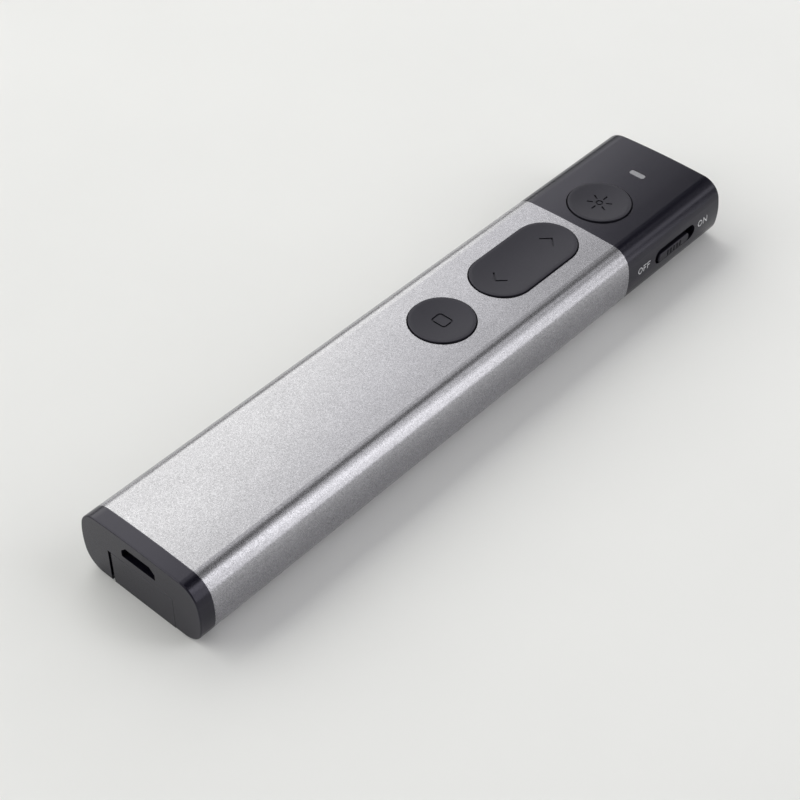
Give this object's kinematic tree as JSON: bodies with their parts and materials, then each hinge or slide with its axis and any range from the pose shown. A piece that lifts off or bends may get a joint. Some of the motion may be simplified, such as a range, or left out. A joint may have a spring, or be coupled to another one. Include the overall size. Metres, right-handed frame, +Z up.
{
  "type": "wireless presentation clicker",
  "caption": "Slim bar-shaped presentation clicker: aluminium tube with black plastic ends, dished round keys and a rocker key, side power slider, laser, charging port and stored USB receiver.",
  "frame": {"origin": "centre of the underside, on the surface that the clicker lies on", "axes": "+Y along the body towards the laser end, +Z up through the keys, +X towards the power slider"},
  "size_m": [0.0282, 0.14, 0.0133],
  "materials": {
    "anodised_aluminium": "bead-blasted, clear anodised",
    "black_plastic": "fine satin texture",
    "key_plastic": "soft matte",
    "slider_plastic": "matte, ribbed",
    "receiver_plastic": "fine satin texture",
    "inner_plastic": "as moulded",
    "circuit_board": "solder mask",
    "screw_steel": "zinc plated",
    "pin_steel": "ground",
    "spring_steel": "rolled",
    "plated_steel": "nickel plated",
    "battery_pouch": "laminated foil pouch",
    "foam": "closed cell foam",
    "lead_insulation": "silicone insulation",
    "laser_brass": "turned",
    "clear_lens": "polished",
    "light_pipe": "frosted clear polycarbonate",
    "led_plastic": "moulded",
    "socket_plastic": "moulded",
    "gold_plating": "gold plated",
    "chip_epoxy": "moulded epoxy",
    "ceramic": "fired ceramic"
  },
  "bodies": {
    "casing": {"body_tube": "anodised_aluminium", "nose_shell": "black_plastic", "end_cap": "black_plastic", "chassis": "inner_plastic", "main_board": "circuit_board", "key_frame": "inner_plastic", "frame_screws": "screw_steel", "page_key_pin": "pin_steel", "laser_dome": "spring_steel", "screen_dome": "spring_steel", "next_dome": "spring_steel", "back_dome": "spring_steel", "slide_switch": "plated_steel", "battery": "battery_pouch", "battery_pad": "foam", "battery_leads": "lead_insulation", "laser_barrel": "laser_brass", "laser_lens": "clear_lens", "laser_diode": "plated_steel", "laser_leads": "gold_plating", "laser_window": "clear_lens", "status_light": "light_pipe", "status_led": "led_plastic", "charging_socket": "plated_steel", "socket_contacts": "socket_plastic", "controller_chip": "chip_epoxy", "crystal": "plated_steel", "charger_chip": "chip_epoxy", "antenna": "ceramic"},
    "laser_key": {"laser_key": "key_plastic"},
    "screen_key": {"screen_key": "key_plastic"},
    "page_key": {"page_key": "key_plastic"},
    "power_slider": {"power_slider": "slider_plastic", "switch_lever": "inner_plastic"},
    "receiver": {"receiver_cap": "receiver_plastic", "receiver_plug": "plated_steel", "receiver_tongue": "socket_plastic", "receiver_contacts": "gold_plating"}
  },
  "joints": [
    {"name": "laser_key_press", "type": "slide", "parent": "casing", "child": "laser_key", "axis": [0, 0, -1], "range_m": [0, 0.0004], "stiffness_N_per_m": 4000, "deforming": ["laser_dome"]},
    {"name": "screen_key_press", "type": "slide", "parent": "casing", "child": "screen_key", "axis": [0, 0, -1], "range_m": [0, 0.0004], "stiffness_N_per_m": 4000, "deforming": ["screen_dome"]},
    {"name": "page_key_tilt", "type": "hinge", "parent": "casing", "child": "page_key", "pos_m": [0, 0.0259, 0.0106], "axis": [1, 0, 0], "range_deg": [-2.2, 2.2], "stiffness_Nm_per_rad": 0.3, "deforming": ["next_dome", "back_dome"]},
    {"name": "power_slide", "type": "slide", "parent": "casing", "child": "power_slider", "axis": [0, 1, 0], "range_m": [0, 0.001]},
    {"name": "receiver_pull", "type": "slide", "parent": "casing", "child": "receiver", "axis": [0, -1, 0], "range_m": [0, 0.02]}
  ]
}
